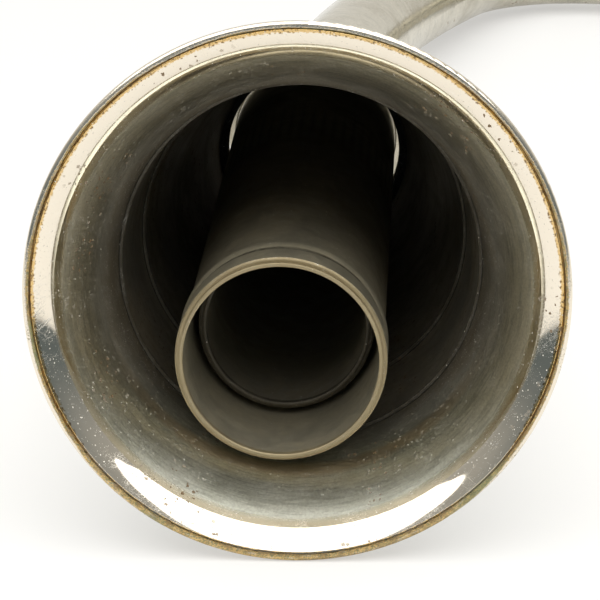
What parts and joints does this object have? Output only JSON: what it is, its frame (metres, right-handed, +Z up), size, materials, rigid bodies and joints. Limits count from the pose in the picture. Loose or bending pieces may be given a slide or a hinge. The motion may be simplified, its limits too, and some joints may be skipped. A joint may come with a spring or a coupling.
{
  "type": "ear trumpet",
  "caption": "Telescopic ear trumpet in silver-plated brass, closed: flared bell, nested draws, swivelling curved ear bend and pull-off bone ear tip.",
  "frame": {"origin": "on the ground under the middle of the closed trumpet's bounding box", "axes": "+Y from the mouth of the bell towards the ear bend, +Z up, +X to the side the ear tip points to"},
  "size_m": [0.1474, 0.3158, 0.0792],
  "materials": {
    "silver_plate": "silver plate on brass, tarnished and brushed",
    "worn_rim": "silver plate worn through to brass along the edge",
    "tube_plate": "thin tarnished silver plate",
    "packing_leather": "oiled leather",
    "lining_cloth": "felted baize",
    "tip_bone": null
  },
  "bodies": {
    "bell": {"rim_moulding": "worn_rim", "mouth_band": "silver_plate", "bell_flare": "silver_plate", "throat_moulding": "silver_plate", "neck_sleeve": "silver_plate", "neck_moulding": "silver_plate", "bell_cone": "silver_plate", "bell_collar": "silver_plate", "collar_cap": "silver_plate"},
    "packing": {"collar_packing": "packing_leather"},
    "middle_draw": {"middle_tube": "tube_plate", "middle_stop_ring": "tube_plate", "middle_collar": "silver_plate", "middle_lining": "lining_cloth"},
    "ear_draw": {"ear_draw_tube": "tube_plate", "ear_stop_ring": "tube_plate", "swivel_socket": "silver_plate"},
    "bend": {"swivel_sleeve": "silver_plate", "ear_bend": "silver_plate", "tip_ferrule": "silver_plate"},
    "tip": {"ear_tip": "tip_bone"}
  },
  "joints": [
    {"name": "draw_rock", "type": "hinge", "parent": "bell", "child": "packing", "pos_m": [-0.03368, -0.0175, 0.01926], "axis": [-0.9781, 0.0312, 0.2056], "range_deg": [0, 5.78]},
    {"name": "middle_slide", "type": "slide", "parent": "packing", "child": "middle_draw", "axis": [0.0209, 0.9984, -0.0524], "range_m": [0, 0.1096]},
    {"name": "ear_slide", "type": "slide", "parent": "middle_draw", "child": "ear_draw", "axis": [0.0209, 0.9984, -0.0524], "range_m": [0, 0.1025]},
    {"name": "bend_swivel", "type": "hinge", "parent": "ear_draw", "child": "bend", "pos_m": [-0.03317, 0.00687, 0.01798], "axis": [0.0209, 0.9984, -0.0524], "continuous": true},
    {"name": "tip_pull", "type": "slide", "parent": "bend", "child": "tip", "axis": [0.9772, -0.212, -0.0087], "range_m": [0, 0.012]}
  ],
  "couplings": [
    {"joint": "draw_rock", "follows": "middle_slide", "rad_per_m": 0.91661}
  ]
}
